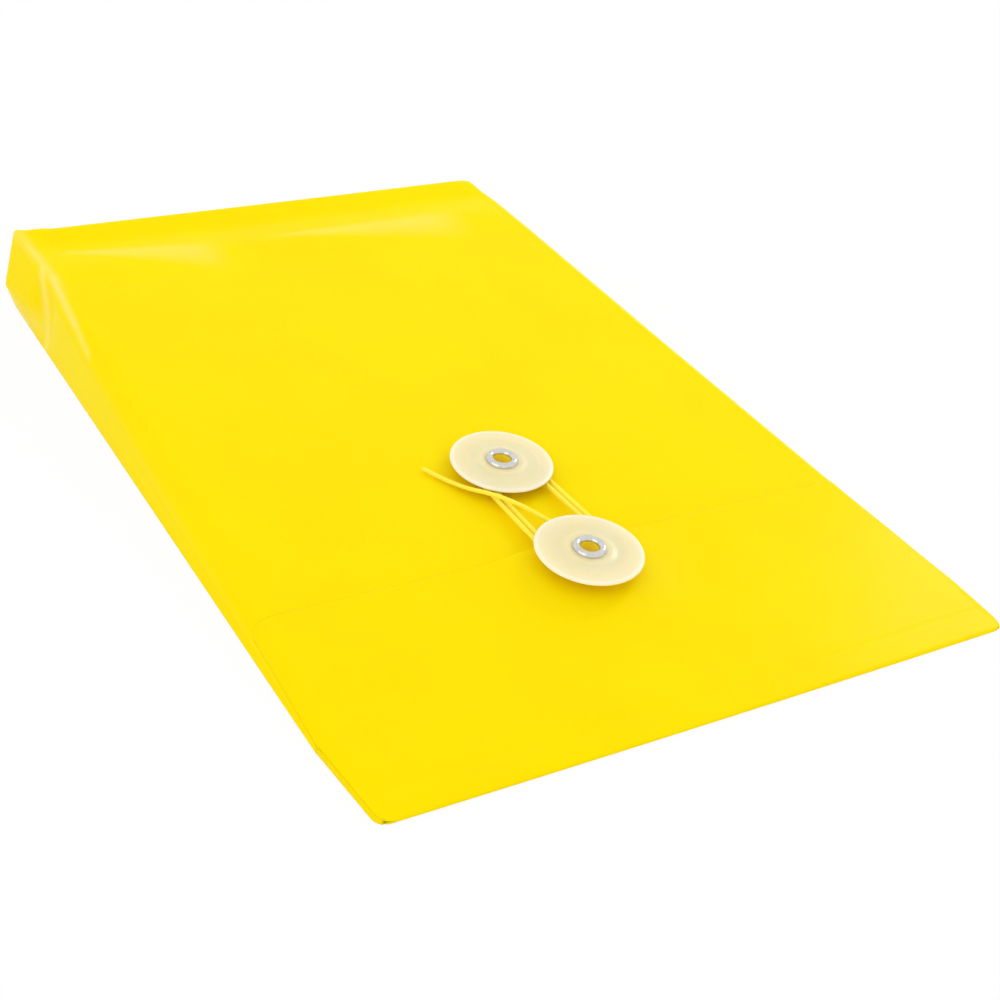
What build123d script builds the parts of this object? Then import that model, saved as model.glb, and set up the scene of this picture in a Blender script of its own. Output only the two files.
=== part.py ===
"""String tie envelope of translucent polypropylene sheet, lying on its back with the flap tied shut.

Millimetres. The envelope lies on the plane z = 0 with its closed, expanded end at +Y and its flap fold
at -Y, and the origin is under its middle. One folded sheet makes the back, front, bottom wall, side
gussets and flap. Each disc turns on an eyelet, and the string is wound round both discs.
"""

import os
from math import atan2, cos, degrees, hypot, pi, radians, sin, sqrt, tan

from build123d import *

os.makedirs("parts", exist_ok=True)

# The folded sheet
envelope_width = 158.75
envelope_length = 234.95
sheet = 0.4
corner_radius = 3.0
fold_gap = 0.3

# The closed end stands open, and the sheets lie nearly flat at the mouth
end_height = 22.0
mouth_height = 2.6
mouth_setback = 23.0
end_fold_radius = 2.0

# Side gussets: a leaning wall with a soft shoulder, and the spare width pleated in under its foot
gusset_width = 25.4
pleat_slit = 0.1
corner_shoulder = 1.2
corner_lean = 2.0
corner_crease = 0.1
soft_station = 30.0
soft_shoulder = 5.0
soft_lean = 6.5
soft_crease = 0.8
mouth_shoulder = 0.6
mouth_crease = 0.05

# Flap, with a score line pressed in beside its fold
score_reach = 7.5
score_width = 0.8
score_depth = 0.15
flap_lift = 1.5
flap_taper = 1.5
flap_corner_radius = 6.0

# Tie discs on their eyelets
disc_diameter = 25.4
disc_thickness = 0.9
disc_rim_width = 1.2
disc_rim_height = 0.25
disc_edge_radius = 0.4
hub_diameter = 10.4
hub_height = 2.4
flap_disc_reach = 51.8
flap_edge_margin = 8.5
disc_spacing = 38.6
eyelet_hole = 4.5
eyelet_wall = 0.35
eyelet_head_diameter = 8.0
eyelet_head_height = 0.85
eyelet_curl_diameter = 7.2
eyelet_curl_height = 0.65
washer_diameter = 10.0
washer_thickness = 0.35
running_fit = 0.05

# String
string_diameter = 1.1
string_pitch = 1.7
string_hub_gap = 0.55
string_floor_gap = 0.6
string_flap_gap = 0.5
string_end_turn = 30.0

# The string's free tail leaves the flap disc, crosses over two strands and lies down on the front
tail_start_angle = 32.0
tail_rise_start = 10.0
tail_rise_end = 19.0
tail_over = 1.8
tail_fall_start = 27.0
tail_fall_end = 38.0
tail_length = 47.5
tail_front_gap = 0.1
tail_radii = [22.0, 11.0, 10.0, 16.0]

# The front's outer face is a plane from the mouth up to the closed end
half_width = envelope_width / 2
fold_y = -envelope_length / 2
end_y = envelope_length / 2
mouth_y = fold_y + mouth_setback
slope = atan2(end_height - mouth_height, end_y - mouth_y)
fold_z = mouth_height - mouth_setback * tan(slope)
front_plane = Plane(origin=(0, fold_y, fold_z), x_dir=(1, 0, 0), z_dir=(0, -sin(slope), cos(slope)))
flap_top = flap_lift + sheet
flap_reach = flap_disc_reach + flap_edge_margin

# The flap folds round a bend that rolls from the back sheet up to the flap
bend_radius = (flap_top + fold_z * cos(slope)) / (1 + cos(slope) - sin(slope))
bend_y = fold_y + bend_radius
bend_centre = (bend_y, bend_radius)
bend_v = front_plane.to_local_coords(Vector(0, *bend_centre)).Y

# The front turns on the roll at the top of the bottom wall
end_centre = (end_y - end_fold_radius, (end_y - end_fold_radius - fold_y) * tan(slope) + fold_z
              - end_fold_radius / cos(slope))
end_v = front_plane.to_local_coords(Vector(0, *end_centre)).Y

# Gusset stations, from the closed end to the mouth: (y, shoulder radius, lean, depth of the crease)
wall_foot = sheet + 2 * sheet
stations = [
    (end_y - sheet, corner_shoulder, corner_lean, corner_crease),
    (end_y - soft_station, soft_shoulder, soft_lean, soft_crease),
    (mouth_y, mouth_shoulder, 0.0, mouth_crease),
]


def front_height(y):
    """Height of the front's outer face above the table at y."""
    return fold_z + (y - fold_y) * tan(slope)


def shoulder_x(y, radius, lean):
    """Half the width of the front's flat at y, where a shoulder of this radius meets it."""
    rise = front_height(y) - wall_foot - radius
    return half_width - (radius + rise * sin(radians(lean))) / cos(radians(lean))


def gusset_section(y, radius, lean, crease):
    """Section through the right gusset wall: foot, crease, shoulder and the edge that meets the front."""
    lean = radians(lean)
    top = front_height(y)
    centre = Vector(shoulder_x(y, radius, degrees(lean)), top - radius)
    out = Vector(cos(lean), sin(lean))
    up = Vector(-sin(lean), cos(lean))
    inner = radius - sheet
    foot = Vector(half_width, wall_foot)
    knee = centre + out * radius
    middle = foot + (knee - foot) * 0.5 - out * crease
    half_way = Vector(sin((radians(90) - lean) / 2), cos((radians(90) - lean) / 2))
    with BuildSketch(Plane(origin=(0, y, 0), x_dir=(1, 0, 0), z_dir=(0, -1, 0))) as section:
        with BuildLine():
            Polyline(foot, middle, knee)
            ThreePointArc(knee, centre + half_way * radius, centre + Vector(0, radius))
            Line(centre + Vector(0, radius), centre + Vector(0, inner))
            ThreePointArc(centre + Vector(0, inner), centre + half_way * inner, centre + out * inner)
            Polyline(
                centre + out * inner,
                middle - out * sheet,
                foot - out * sheet + up * (sheet * tan(lean)),
                foot,
            )
        make_face()
    return section.sketch


def front_half_width(station):
    """Half the width of the front panel at a gusset station."""
    return shoulder_x(*station[:3]) - fold_gap


# Back panel, flat on the table from the flap fold to the closed end
with BuildPart() as back_panel:
    with BuildSketch():
        with Locations((0, (bend_y + end_y) / 2)):
            Rectangle(envelope_width, end_y - bend_y)
    extrude(amount=sheet)

# Bottom wall across the closed end, rolled over at its top towards the front
with BuildPart() as bottom_wall:
    with BuildSketch(Plane.YZ):
        with BuildLine():
            sweep_up = 90 + degrees(slope)
            outer_roll = CenterArc(end_centre, end_fold_radius, 0, sweep_up)
            inner_roll = CenterArc(end_centre, end_fold_radius - sheet, 0, sweep_up)
            Line(outer_roll @ 1, inner_roll @ 1)
            Polyline(outer_roll @ 0, (end_y, sheet), (end_y - sheet, sheet), inner_roll @ 0)
        make_face()
    extrude(amount=half_width, both=True)
    with BuildSketch(Plane.XZ.offset(-end_y)):
        with BuildLine():
            far_top = front_height(end_y)
            corner = half_width - (far_top - wall_foot) * tan(radians(corner_lean))
            Polyline(
                (-half_width, sheet),
                (half_width, sheet),
                (half_width, wall_foot),
                (corner, far_top),
                (-corner, far_top),
                (-half_width, wall_foot),
                close=True,
            )
        make_face()
    roll_depth = 2 * end_fold_radius
    extrude(amount=roll_depth, both=True, mode=Mode.INTERSECT)

# Right gusset wall, lofted through its stations and trimmed to the inside of the bottom wall
with BuildPart() as right_gusset:
    for station in stations:
        add(gusset_section(*station))
    loft(ruled=True)
    with BuildSketch(Plane.YZ):
        with BuildLine():
            inside_roll = CenterArc(end_centre, end_fold_radius - sheet, 0, 90 + degrees(slope))
            roll_edge = inside_roll @ 1 + Vector(-sin(slope), cos(slope)) * end_fold_radius
            Polyline(
                inside_roll @ 1,
                roll_edge,
                (mouth_y, roll_edge.Y),
                (mouth_y, 0),
                (end_y - sheet, 0),
                inside_roll @ 0,
            )
        make_face()
    extrude(amount=half_width, mode=Mode.INTERSECT)

with BuildPart() as left_gusset:
    mirror(right_gusset.part, about=Plane.YZ)

# Right pleat: the spare gusset width folded double on the back panel, and its mirror image
with BuildPart() as right_pleat:
    end_pleat = (gusset_width - (front_height(end_y) - wall_foot)) / 2
    mouth_pleat = (gusset_width - (mouth_height - wall_foot)) / 2
    with BuildSketch(Plane.XY.offset(sheet)):
        Polygon(
            (half_width, mouth_y),
            (half_width, end_y - sheet),
            (half_width - end_pleat, end_y - sheet),
            (half_width - mouth_pleat, mouth_y),
            align=None,
        )
    extrude(amount=2 * sheet)
    with BuildSketch(Plane.XY.offset(2 * sheet - pleat_slit / 2)):
        Polygon(
            (half_width, mouth_y),
            (half_width, end_y - sheet),
            (half_width - end_pleat + sheet, end_y - sheet),
            (half_width - mouth_pleat + sheet, mouth_y),
            align=None,
        )
    extrude(amount=pleat_slit, mode=Mode.SUBTRACT)

with BuildPart() as left_pleat:
    mirror(right_pleat.part, about=Plane.YZ)

# Flap bend, the living hinge that rolls half round from the back sheet to the flap
with BuildPart() as flap_bend:
    with BuildSketch(Plane.YZ):
        with BuildLine():
            roll = 180 - degrees(slope)
            outer_bend = CenterArc(bend_centre, bend_radius, 270 - roll, roll)
            inner_bend = CenterArc(bend_centre, bend_radius - sheet, 270 - roll, roll)
            Line(outer_bend @ 0, inner_bend @ 0)
            Line(outer_bend @ 1, inner_bend @ 1)
        make_face()
    extrude(amount=half_width, both=True)
    with BuildSketch():
        with Locations((0, fold_y + envelope_length / 2)):
            RectangleRounded(envelope_width, envelope_length, corner_radius)
    extrude(amount=2 * bend_radius, mode=Mode.INTERSECT)

# Front panel, narrower towards the closed end, with the eyelet's hole
body_disc_reach = flap_disc_reach + disc_spacing
barrel_radius = eyelet_hole / 2 + eyelet_wall
sheet_hole_radius = barrel_radius + running_fit
with BuildPart() as front_panel:
    with BuildSketch(front_plane.offset(-sheet)):
        near_half, soft_half, far_half = (front_half_width(s) for s in reversed(stations))
        mouth_v = mouth_setback / cos(slope)
        soft_v = (stations[1][0] - fold_y) / cos(slope)
        far_v = end_v - fold_gap
        Polygon(
            (-near_half, mouth_v),
            (near_half, mouth_v),
            (soft_half, soft_v),
            (far_half, far_v),
            (-far_half, far_v),
            (-soft_half, soft_v),
            align=None,
        )
        with Locations((0, body_disc_reach)):
            Circle(sheet_hole_radius, mode=Mode.SUBTRACT)
    extrude(amount=sheet)

# Flap, from its fold to its free edge just past the flap disc, with the score line across it
with BuildPart() as flap_panel:
    with BuildSketch(front_plane.offset(flap_lift)):
        flap_start = bend_v + fold_gap
        free_half = half_width - flap_taper
        Polygon(
            (-half_width, flap_start),
            (half_width, flap_start),
            (half_width, score_reach),
            (free_half, flap_reach),
            (-free_half, flap_reach),
            (-half_width, score_reach),
            align=None,
        )
        with Locations((0, flap_disc_reach)):
            Circle(sheet_hole_radius, mode=Mode.SUBTRACT)
    extrude(amount=sheet)
    slope_along = Axis(front_plane.origin, front_plane.y_dir)
    face_normal = Axis(front_plane.origin, front_plane.z_dir)
    fillet(flap_panel.edges().filter_by(face_normal).group_by(slope_along)[-1], flap_corner_radius)
    with BuildSketch(front_plane.offset(flap_top)):
        with Locations((0, score_reach)):
            Rectangle(envelope_width, score_width)
    extrude(amount=-score_depth, mode=Mode.SUBTRACT)


def turning_plane(reach, seat):
    """Plane through the axis of a disc that stands on the front: X outward, Y up from its seat."""
    return Plane(
        origin=front_plane.from_local_coords(Vector(0, reach, seat)),
        x_dir=(1, 0, 0),
        z_dir=-front_plane.y_dir,
    )


def tie_disc(plane):
    """Moulded disc on a hub, with a raised rim and a low boss round its bore."""
    bore = sheet_hole_radius
    hub = hub_diameter / 2
    rim = disc_diameter / 2
    web = hub_height + disc_thickness
    boss = eyelet_head_diameter / 2 + disc_rim_width / 2
    with BuildPart() as disc:
        with BuildSketch(plane):
            with BuildLine():
                Polyline(
                    (bore, running_fit),
                    (hub, running_fit),
                    (hub, hub_height),
                    (rim - disc_edge_radius, hub_height),
                )
                ThreePointArc(
                    (rim - disc_edge_radius, hub_height),
                    (rim, hub_height + disc_edge_radius),
                    (rim - disc_edge_radius, hub_height + 2 * disc_edge_radius),
                )
                Polyline(
                    (rim - disc_edge_radius, hub_height + 2 * disc_edge_radius),
                    (rim - disc_edge_radius, web + disc_rim_height),
                    (rim - disc_rim_width, web + disc_rim_height),
                    (rim - 2 * disc_rim_width, web),
                    (boss + disc_rim_width / 2, web),
                    (boss, web + disc_rim_height),
                    (bore, web + disc_rim_height),
                    (bore, running_fit),
                )
            make_face()
        revolve(axis=Axis(plane.origin, plane.y_dir))
    return disc.part


def eyelet(plane):
    """Pressed eyelet: domed head over the disc, barrel, and a curled rim under the washer."""
    hole = eyelet_hole / 2
    head = eyelet_head_diameter / 2
    curl = eyelet_curl_diameter / 2
    seat = hub_height + disc_thickness + disc_rim_height + running_fit
    under = -sheet - washer_thickness
    with BuildPart() as pressed:
        with BuildSketch(plane):
            with BuildLine():
                Line((barrel_radius, seat), (head, seat))
                ThreePointArc(
                    (head, seat),
                    ((head + barrel_radius) / 2, seat + eyelet_head_height),
                    (hole, seat + eyelet_wall),
                )
                Line((hole, seat + eyelet_wall), (hole, under - eyelet_wall))
                ThreePointArc(
                    (hole, under - eyelet_wall),
                    ((curl + barrel_radius) / 2, under - eyelet_curl_height),
                    (curl, under),
                )
                Polyline((curl, under), (barrel_radius, under), (barrel_radius, seat))
            make_face()
        revolve(axis=Axis(plane.origin, plane.y_dir))
    return pressed.part


def washer(plane):
    """Flat ring under the sheet that spreads the eyelet's curl."""
    with BuildPart() as ring:
        with BuildSketch(plane):
            with Locations(((sheet_hole_radius + washer_diameter / 2) / 2, -sheet - washer_thickness / 2)):
                Rectangle(washer_diameter / 2 - sheet_hole_radius, washer_thickness)
        revolve(axis=Axis(plane.origin, plane.y_dir))
    return ring.part


body_turning = turning_plane(body_disc_reach, 0)
flap_turning = turning_plane(flap_disc_reach, flap_top)
turned = {
    "body_disc": tie_disc(body_turning),
    "flap_disc": tie_disc(flap_turning),
    "body_eyelet": eyelet(body_turning),
    "flap_eyelet": eyelet(flap_turning),
    "body_washer": washer(body_turning),
    "flap_washer": washer(flap_turning),
}

# String: wound twice round both hubs in one leaning plane, from the flap disc down to the body disc
string_radius = string_diameter / 2
hub_turn = hub_diameter / 2 + string_hub_gap + string_radius
turns = [hub_turn, hub_turn + string_pitch, hub_turn + 2 * string_pitch]
string_low = string_radius + string_floor_gap
string_high = flap_top + string_radius + string_flap_gap
string_run = hypot(disc_spacing, string_high - string_low)
flap_hub = front_plane.from_local_coords(Vector(0, flap_disc_reach, string_high))
body_hub = front_plane.from_local_coords(Vector(0, body_disc_reach, string_low))
along = (body_hub - flap_hub).normalized()
string_plane = Plane(origin=flap_hub, x_dir=(1, 0, 0), z_dir=Vector(1, 0, 0).cross(along))


def tangent(flap_turn, body_turn, side):
    """Direction from both hubs to the straight run that touches these turns; side is 1 right, -1 left."""
    rise = (flap_turn - body_turn) / string_run
    return Vector(side * sqrt(1 - rise**2), rise)


def on_flap(direction, turn):
    """Point on a turn round the flap disc's hub, in this direction from its axis."""
    return string_plane.from_local_coords(direction * turn)


def on_body(direction, turn):
    """Point on a turn round the body disc's hub, in this direction from its axis."""
    return string_plane.from_local_coords(Vector(0, string_run) + direction * turn)


def around(angle):
    """Direction in the string's plane, counted from +X towards the body disc."""
    return Vector(cos(radians(angle)), sin(radians(angle)))


left_1 = tangent(turns[0], turns[0], -1)
right_1 = tangent(turns[1], turns[0], 1)
left_2 = tangent(turns[1], turns[1], -1)
right_2 = tangent(turns[2], turns[1], 1)
near_side = around(-90)
far_side = around(90)
tail_foot = around(tail_start_angle) * turns[0]
tail_way = around(tail_start_angle + 90)
first_turn_middle = (tail_start_angle - 180) / 2


def lying_lift(run):
    """Height against the string's plane at which the tail, this far along it, lies on the front."""
    share = (tail_foot + tail_way * run).Y / string_run
    return string_radius + tail_front_gap - string_high + (string_high - string_low) * share


# Points of the tail: distance along it from the hub, and height above the string's plane
tail_points = [
    (0.0, 0.0),
    (tail_rise_start, 0.0),
    (tail_rise_end, tail_over),
    (tail_fall_start, tail_over),
    (tail_fall_end, lying_lift(tail_fall_end)),
    (tail_length, lying_lift(tail_length)),
]

with BuildPart() as tie_string:
    with BuildLine() as route:
        FilletPolyline(
            *[
                string_plane.from_local_coords(tail_foot + tail_way * run + Vector(0, 0, lift))
                for run, lift in reversed(tail_points)
            ],
            radius=list(reversed(tail_radii)),
        )
        ThreePointArc(
            on_flap(around(tail_start_angle), turns[0]),
            on_flap(around(first_turn_middle), turns[0]),
            on_flap(left_1, turns[0]),
        )
        Line(on_flap(left_1, turns[0]), on_body(left_1, turns[0]))
        ThreePointArc(
            on_body(left_1, turns[0]), on_body(far_side, turns[0]), on_body(right_1, turns[0])
        )
        Line(on_body(right_1, turns[0]), on_flap(right_1, turns[1]))
        ThreePointArc(
            on_flap(right_1, turns[1]), on_flap(near_side, turns[1]), on_flap(left_2, turns[1])
        )
        Line(on_flap(left_2, turns[1]), on_body(left_2, turns[1]))
        ThreePointArc(
            on_body(left_2, turns[1]), on_body(far_side, turns[1]), on_body(right_2, turns[1])
        )
        Line(on_body(right_2, turns[1]), on_flap(right_2, turns[2]))
        ThreePointArc(
            on_flap(right_2, turns[2]),
            on_flap(around(-string_end_turn / 2), turns[2]),
            on_flap(around(-string_end_turn), turns[2]),
        )
    string_wire = route.wire()
    with BuildSketch(Plane(origin=string_wire @ 0, z_dir=string_wire % 0)):
        Circle(string_radius)
    sweep(path=string_wire)

string_length = string_wire.length
print("string length", round(string_length, 1), "bends", [round(r, 2) for r in turns], tail_radii)
print("string volume over section times length",
      round(tie_string.part.volume / (pi * string_radius**2 * string_length), 4))


def least_gap(wire, spacing, skip):
    """Least clear distance between stretches of the string that are further apart than skip along it."""
    count = int(wire.length / spacing)
    points = [wire @ (i / count) for i in range(count + 1)]
    reach = int(skip / spacing)
    pairs = ((points[i], points[j]) for i in range(len(points)) for j in range(i + reach, len(points)))
    return min((a - b).length for a, b in pairs) - string_diameter


print("string least gap to itself", round(least_gap(string_wire, string_radius, 2 * hub_turn), 3))

pieces = {
    "back_panel": back_panel.part,
    "bottom_wall": bottom_wall.part,
    "left_gusset": left_gusset.part,
    "right_gusset": right_gusset.part,
    "left_pleat": left_pleat.part,
    "right_pleat": right_pleat.part,
    "flap_bend": flap_bend.part,
    "front_panel": front_panel.part,
    "flap_panel": flap_panel.part,
    "tie_string": tie_string.part,
} | turned
for name, piece in pieces.items():
    piece.label = name
    export_step(piece, f"parts/{name}.step")
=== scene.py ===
"""Looks of the string tie envelope: translucent yellow sheet, milky tie discs, nickel eyelets and string."""

import math

import bpy
import numpy as np
from mathutils import Matrix, Vector


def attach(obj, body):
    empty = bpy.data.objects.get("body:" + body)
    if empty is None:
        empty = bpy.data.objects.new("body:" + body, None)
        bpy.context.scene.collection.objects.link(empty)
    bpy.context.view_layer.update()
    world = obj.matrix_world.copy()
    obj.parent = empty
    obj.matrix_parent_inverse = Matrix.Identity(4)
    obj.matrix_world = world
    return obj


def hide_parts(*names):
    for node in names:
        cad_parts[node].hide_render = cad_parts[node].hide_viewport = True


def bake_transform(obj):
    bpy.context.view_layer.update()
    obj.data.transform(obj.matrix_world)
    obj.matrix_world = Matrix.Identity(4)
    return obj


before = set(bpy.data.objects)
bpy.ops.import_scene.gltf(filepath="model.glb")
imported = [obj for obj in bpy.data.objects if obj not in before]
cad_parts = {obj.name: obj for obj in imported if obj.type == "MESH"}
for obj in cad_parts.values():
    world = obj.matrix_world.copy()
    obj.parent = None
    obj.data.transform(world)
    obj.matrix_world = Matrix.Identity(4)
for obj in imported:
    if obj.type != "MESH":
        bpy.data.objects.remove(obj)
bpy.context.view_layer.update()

MM = 0.001

# Sizes of the folded sheet, in millimetres, as in the part's source
WIDTH = 158.75
LENGTH = 234.95
SHEET = 0.4
END_HEIGHT = 22.0
MOUTH_HEIGHT = 2.6
MOUTH_SETBACK = 23.0
END_ROLL = 2.0
CORNER_RADIUS = 3.0
FLAP_LIFT = 1.5
SCORE_REACH = 7.5
FLAP_DISC_REACH = 51.8
FLAP_EDGE = 60.3
DISC_SPACING = 38.6
GUSSET = 25.4

HALF = WIDTH / 2
FOLD_Y = -LENGTH / 2
END_Y = LENGTH / 2
MOUTH_Y = FOLD_Y + MOUTH_SETBACK
SLOPE = math.atan2(END_HEIGHT - MOUTH_HEIGHT, END_Y - MOUTH_Y)
FOLD_Z = MOUTH_HEIGHT - MOUTH_SETBACK * math.tan(SLOPE)
FLAP_TOP = FLAP_LIFT + SHEET
ROLL_Y = END_Y - END_ROLL
ROLL_Z = (ROLL_Y - FOLD_Y) * math.tan(SLOPE) + FOLD_Z - END_ROLL / math.cos(SLOPE)
ALONG = np.array([0.0, math.cos(SLOPE), math.sin(SLOPE)])
NORMAL = np.array([0.0, -math.sin(SLOPE), math.cos(SLOPE)])


def on_front(u, v, w):
    """Point in millimetres: u across, v up the front from the flap fold, w above the front's outer face."""
    return np.array([u, FOLD_Y, FOLD_Z]) + ALONG * v + NORMAL * w


def front_height(y):
    """Height of the front's outer face at y."""
    return FOLD_Z + (y - FOLD_Y) * math.tan(SLOPE)


def smooth(low, high, x):
    """Smooth step from 0 at low to 1 at high."""
    t = np.clip((x - low) / (high - low), 0.0, 1.0)
    return t * t * (3 - 2 * t)


def hill(x, middle, width):
    """Bell of height 1 about middle."""
    return np.exp(-(((x - middle) / width) ** 2))


# Mesh helpers


def add_mesh(name, points, faces, smooth_angle=40.0):
    """New object from points in millimetres, shaded smooth up to an angle between faces."""
    mesh = bpy.data.meshes.new(name)
    mesh.from_pydata([tuple(p) for p in np.asarray(points) * MM], [], faces)
    mesh.validate()
    mesh.polygons.foreach_set("use_smooth", [True] * len(mesh.polygons))
    mesh.set_sharp_from_angle(angle=math.radians(smooth_angle))
    thing = bpy.data.objects.new(name, mesh)
    bpy.context.scene.collection.objects.link(thing)
    return thing


def grid_faces(rows, columns, flip=False):
    """Quads of a grid of rows times columns points."""
    faces = []
    for r in range(rows - 1):
        for c in range(columns - 1):
            a = r * columns + c
            quad = (a, a + 1, a + columns + 1, a + columns)
            faces.append(quad[::-1] if flip else quad)
    return faces


def sheet_piece(name, grid, flip=False, smooth_angle=40.0):
    """Sheet of the envelope's gauge, from a grid of points on its outer face."""
    grid = np.asarray(grid, float)
    rows, columns = grid.shape[:2]
    piece = add_mesh(name, grid.reshape(-1, 3), grid_faces(rows, columns, flip), smooth_angle)
    gauge = piece.modifiers.new("gauge", "SOLIDIFY")
    gauge.thickness = SHEET * MM
    gauge.offset = -1.0
    return piece


def add_shade(piece, name, values):
    """Float per point that the piece's material reads."""
    attribute = piece.data.attributes.new(name, "FLOAT", "POINT")
    attribute.data.foreach_set("value", np.asarray(values, np.float32).ravel())


# The pocket's skin: left wall, left shoulder, front, right shoulder and right wall in one sheet.
# Stations: y, then for each side the wall's inset at its top, and the shoulder's width and height.
LEFT_STATIONS = np.array([
    (-117.5, 0.5, 4.0, 0.1),
    (-94.5, 0.8, 4.5, 2.1),
    (-85.0, 1.3, 5.0, 2.5),
    (-40.0, 2.6, 7.0, 4.5),
    (10.0, 3.0, 8.0, 6.5),
    (48.0, 2.6, 6.0, 5.5),
    (86.0, 2.2, 3.2, 3.0),
    (104.0, 2.0, 2.2, 2.0),
    (115.5, 1.7, 1.4, 1.4),
])
RIGHT_STATIONS = np.array([
    (-117.5, 0.5, 3.0, 0.1),
    (-94.5, 0.4, 2.2, 2.1),
    (-85.0, 0.6, 2.3, 2.4),
    (10.0, 1.4, 3.2, 3.4),
    (86.0, 2.4, 3.0, 3.0),
    (104.0, 3.5, 2.2, 2.0),
    (115.5, 5.4, 1.4, 1.4),
])
FOOT_SHARES = [0.0, 0.33, 0.67, 1.0]
LEAST_KNEE = 0.5
WALL_STEPS = 9
ARC_STEPS = 12
FLAT_STEPS = 72
PLEAT_TOP = 1.2


def side_shape(stations, y):
    """Inset at the top of the wall, height of its knee, and the shoulder's start, width and height."""
    inset, wide, tall = [float(np.interp(y, stations[:, 0], stations[:, k])) for k in (1, 2, 3)]
    top = front_height(y)
    knee = max(top - tall, LEAST_KNEE)
    return inset, knee, inset * knee / top, wide, top - knee


def side_profile(stations, y):
    """Half section from the foot to the front's flat: distance in from the edge, and height."""
    inset, knee, start, wide, tall = side_shape(stations, y)
    foot = min(PLEAT_TOP, 0.8 * knee)
    heights = [foot * share for share in FOOT_SHARES]
    heights += [foot + (knee - foot) * k / WALL_STEPS for k in range(1, WALL_STEPS + 1)]
    points = [(start * z / knee, z) for z in heights]
    for k in range(1, ARC_STEPS + 1):
        turn = math.pi / 2 * k / ARC_STEPS
        points.append((start + wide * (1 - math.cos(turn)), knee + tall * math.sin(turn)))
    return points


def settle(points):
    """Lived-in shape of the pocket: raised far left corner, dented left wall and a soft far crease."""
    p = np.array(points, float)
    x, y, z = p[..., 0].copy(), p[..., 1].copy(), p[..., 2].copy()
    share = np.clip(z / np.maximum(front_height(y), 1.0), 0, 1)
    corner = np.clip(1 - (x + 78.0) / 11.0, 0, 1) ** 1.5 * smooth(96.0, 117.0, y)
    p[..., 2] += 2.6 * corner * smooth(0.4, 1.0, share)
    wall = smooth(-70.0, -76.0, x)
    p[..., 0] += wall * 1.6 * hill(y, 90.0, 5.5) * np.sin(np.pi * np.clip(share, 0, 1)) ** 0.7
    p[..., 0] += wall * np.clip((y - 86.0) / 31.0, 0, 1) * np.interp(z, [0.0, 8.0, 22.0], [0.0, -3.7, -0.9])
    flat = smooth(0.93, 1.0, share) * (1 - wall) * smooth(77.0, 69.0, x)
    swell = 0.55 * hill(y, 94.0, 7.0) - 0.45 * hill(y, 106.0, 5.0) + 1.3 * smooth(107.0, 116.0, y)
    p[..., 2] += flat * swell
    p[..., 2] -= flat * 0.9 * smooth(-60, 20, y) * hill(y, 30.0, 60.0) * hill(x, 10.0, 55.0)
    return p


LEFT_SPREAD_AT = [FOLD_Y, MOUTH_Y, END_Y]
LEFT_SPREAD = [-0.8, 0.8, -3.2]
RIGHT_SPREAD_AT = [FOLD_Y, -100.0, -80.0, -64.0, 20.0, END_Y]
RIGHT_SPREAD = [1.5, 2.8, 2.5, 1.9, 0.4, -1.1]


def widen(points):
    """Points moved as far as the limp sides stand out or in along the length."""
    p = np.array(points, float)
    left = np.interp(p[..., 1], LEFT_SPREAD_AT, LEFT_SPREAD)
    right = np.interp(p[..., 1], RIGHT_SPREAD_AT, RIGHT_SPREAD)
    p[..., 0] *= 1 + np.where(p[..., 0] < 0, left, right) / HALF
    return p


RIM_START = ROLL_Y - END_ROLL * math.sin(SLOPE)
RIM_STEPS = 8
FOOT_RISE = 0.23
PRESSED = 0.3
EDGE_COLUMN = len(FOOT_SHARES) + WALL_STEPS + 2
FLAP_EDGE_Y = FOLD_Y + FLAP_EDGE * math.cos(SLOPE)
FREE_CORNER = 3.0
CORNER_SPREAD = 14.0


def inward(section):
    """Unit vectors across a section of the skin, into the pocket."""
    along = np.gradient(section[:, [0, 2]], axis=0)
    along /= np.maximum(np.linalg.norm(along, axis=1), 1e-9)[:, None]
    return np.stack([along[:, 1], -along[:, 0]], axis=1)


def full_section(y):
    """Section of the folded sheet at y, from the left foot over the front to the right foot."""
    left = side_profile(LEFT_STATIONS, y)
    right = side_profile(RIGHT_STATIONS, y)
    points = [(-HALF + inset, y, z) for inset, z in left]
    start, end = -HALF + left[-1][0], HALF - right[-1][0]
    points += [(start + (end - start) * k / FLAT_STEPS, y, front_height(y)) for k in range(1, FLAT_STEPS)]
    points += [(HALF - inset, y, z) for inset, z in reversed(right)]
    return np.array(points, float)


def corner_cut(section):
    """How far the flap's rounded free corner falls short of its free edge, at each point of a section."""
    x = section[:, 0]
    short = np.clip(FREE_CORNER - np.minimum(x - x[EDGE_COLUMN], x[-1 - EDGE_COLUMN] - x), 0, FREE_CORNER)
    return FREE_CORNER - np.sqrt(FREE_CORNER**2 - short**2)


def along_front(section, shift):
    """Section moved along the slope of the front."""
    moved = section.copy()
    moved[:, 1] += shift
    moved[:, 2] += shift * math.tan(SLOPE) * np.clip(section[:, 2] / section[:, 2].max(), 0, 1)
    return moved


def pocket_section(y):
    """Section of the skin at y, pressed in by a sheet's gauge where the flap lies on it."""
    section = full_section(y)
    covered = np.zeros(len(section))
    covered[EDGE_COLUMN:len(section) - EDGE_COLUMN] = 1 - smooth(FLAP_EDGE_Y + 0.01, FLAP_EDGE_Y + 0.09, y)
    pressed = section.copy()
    pressed[:, [0, 2]] += inward(section) * (PRESSED * covered)[:, None]
    nearness = max(1 - abs(y - FLAP_EDGE_Y) / CORNER_SPREAD, 0.0)
    return along_front(pressed, -nearness * corner_cut(section))


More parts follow.
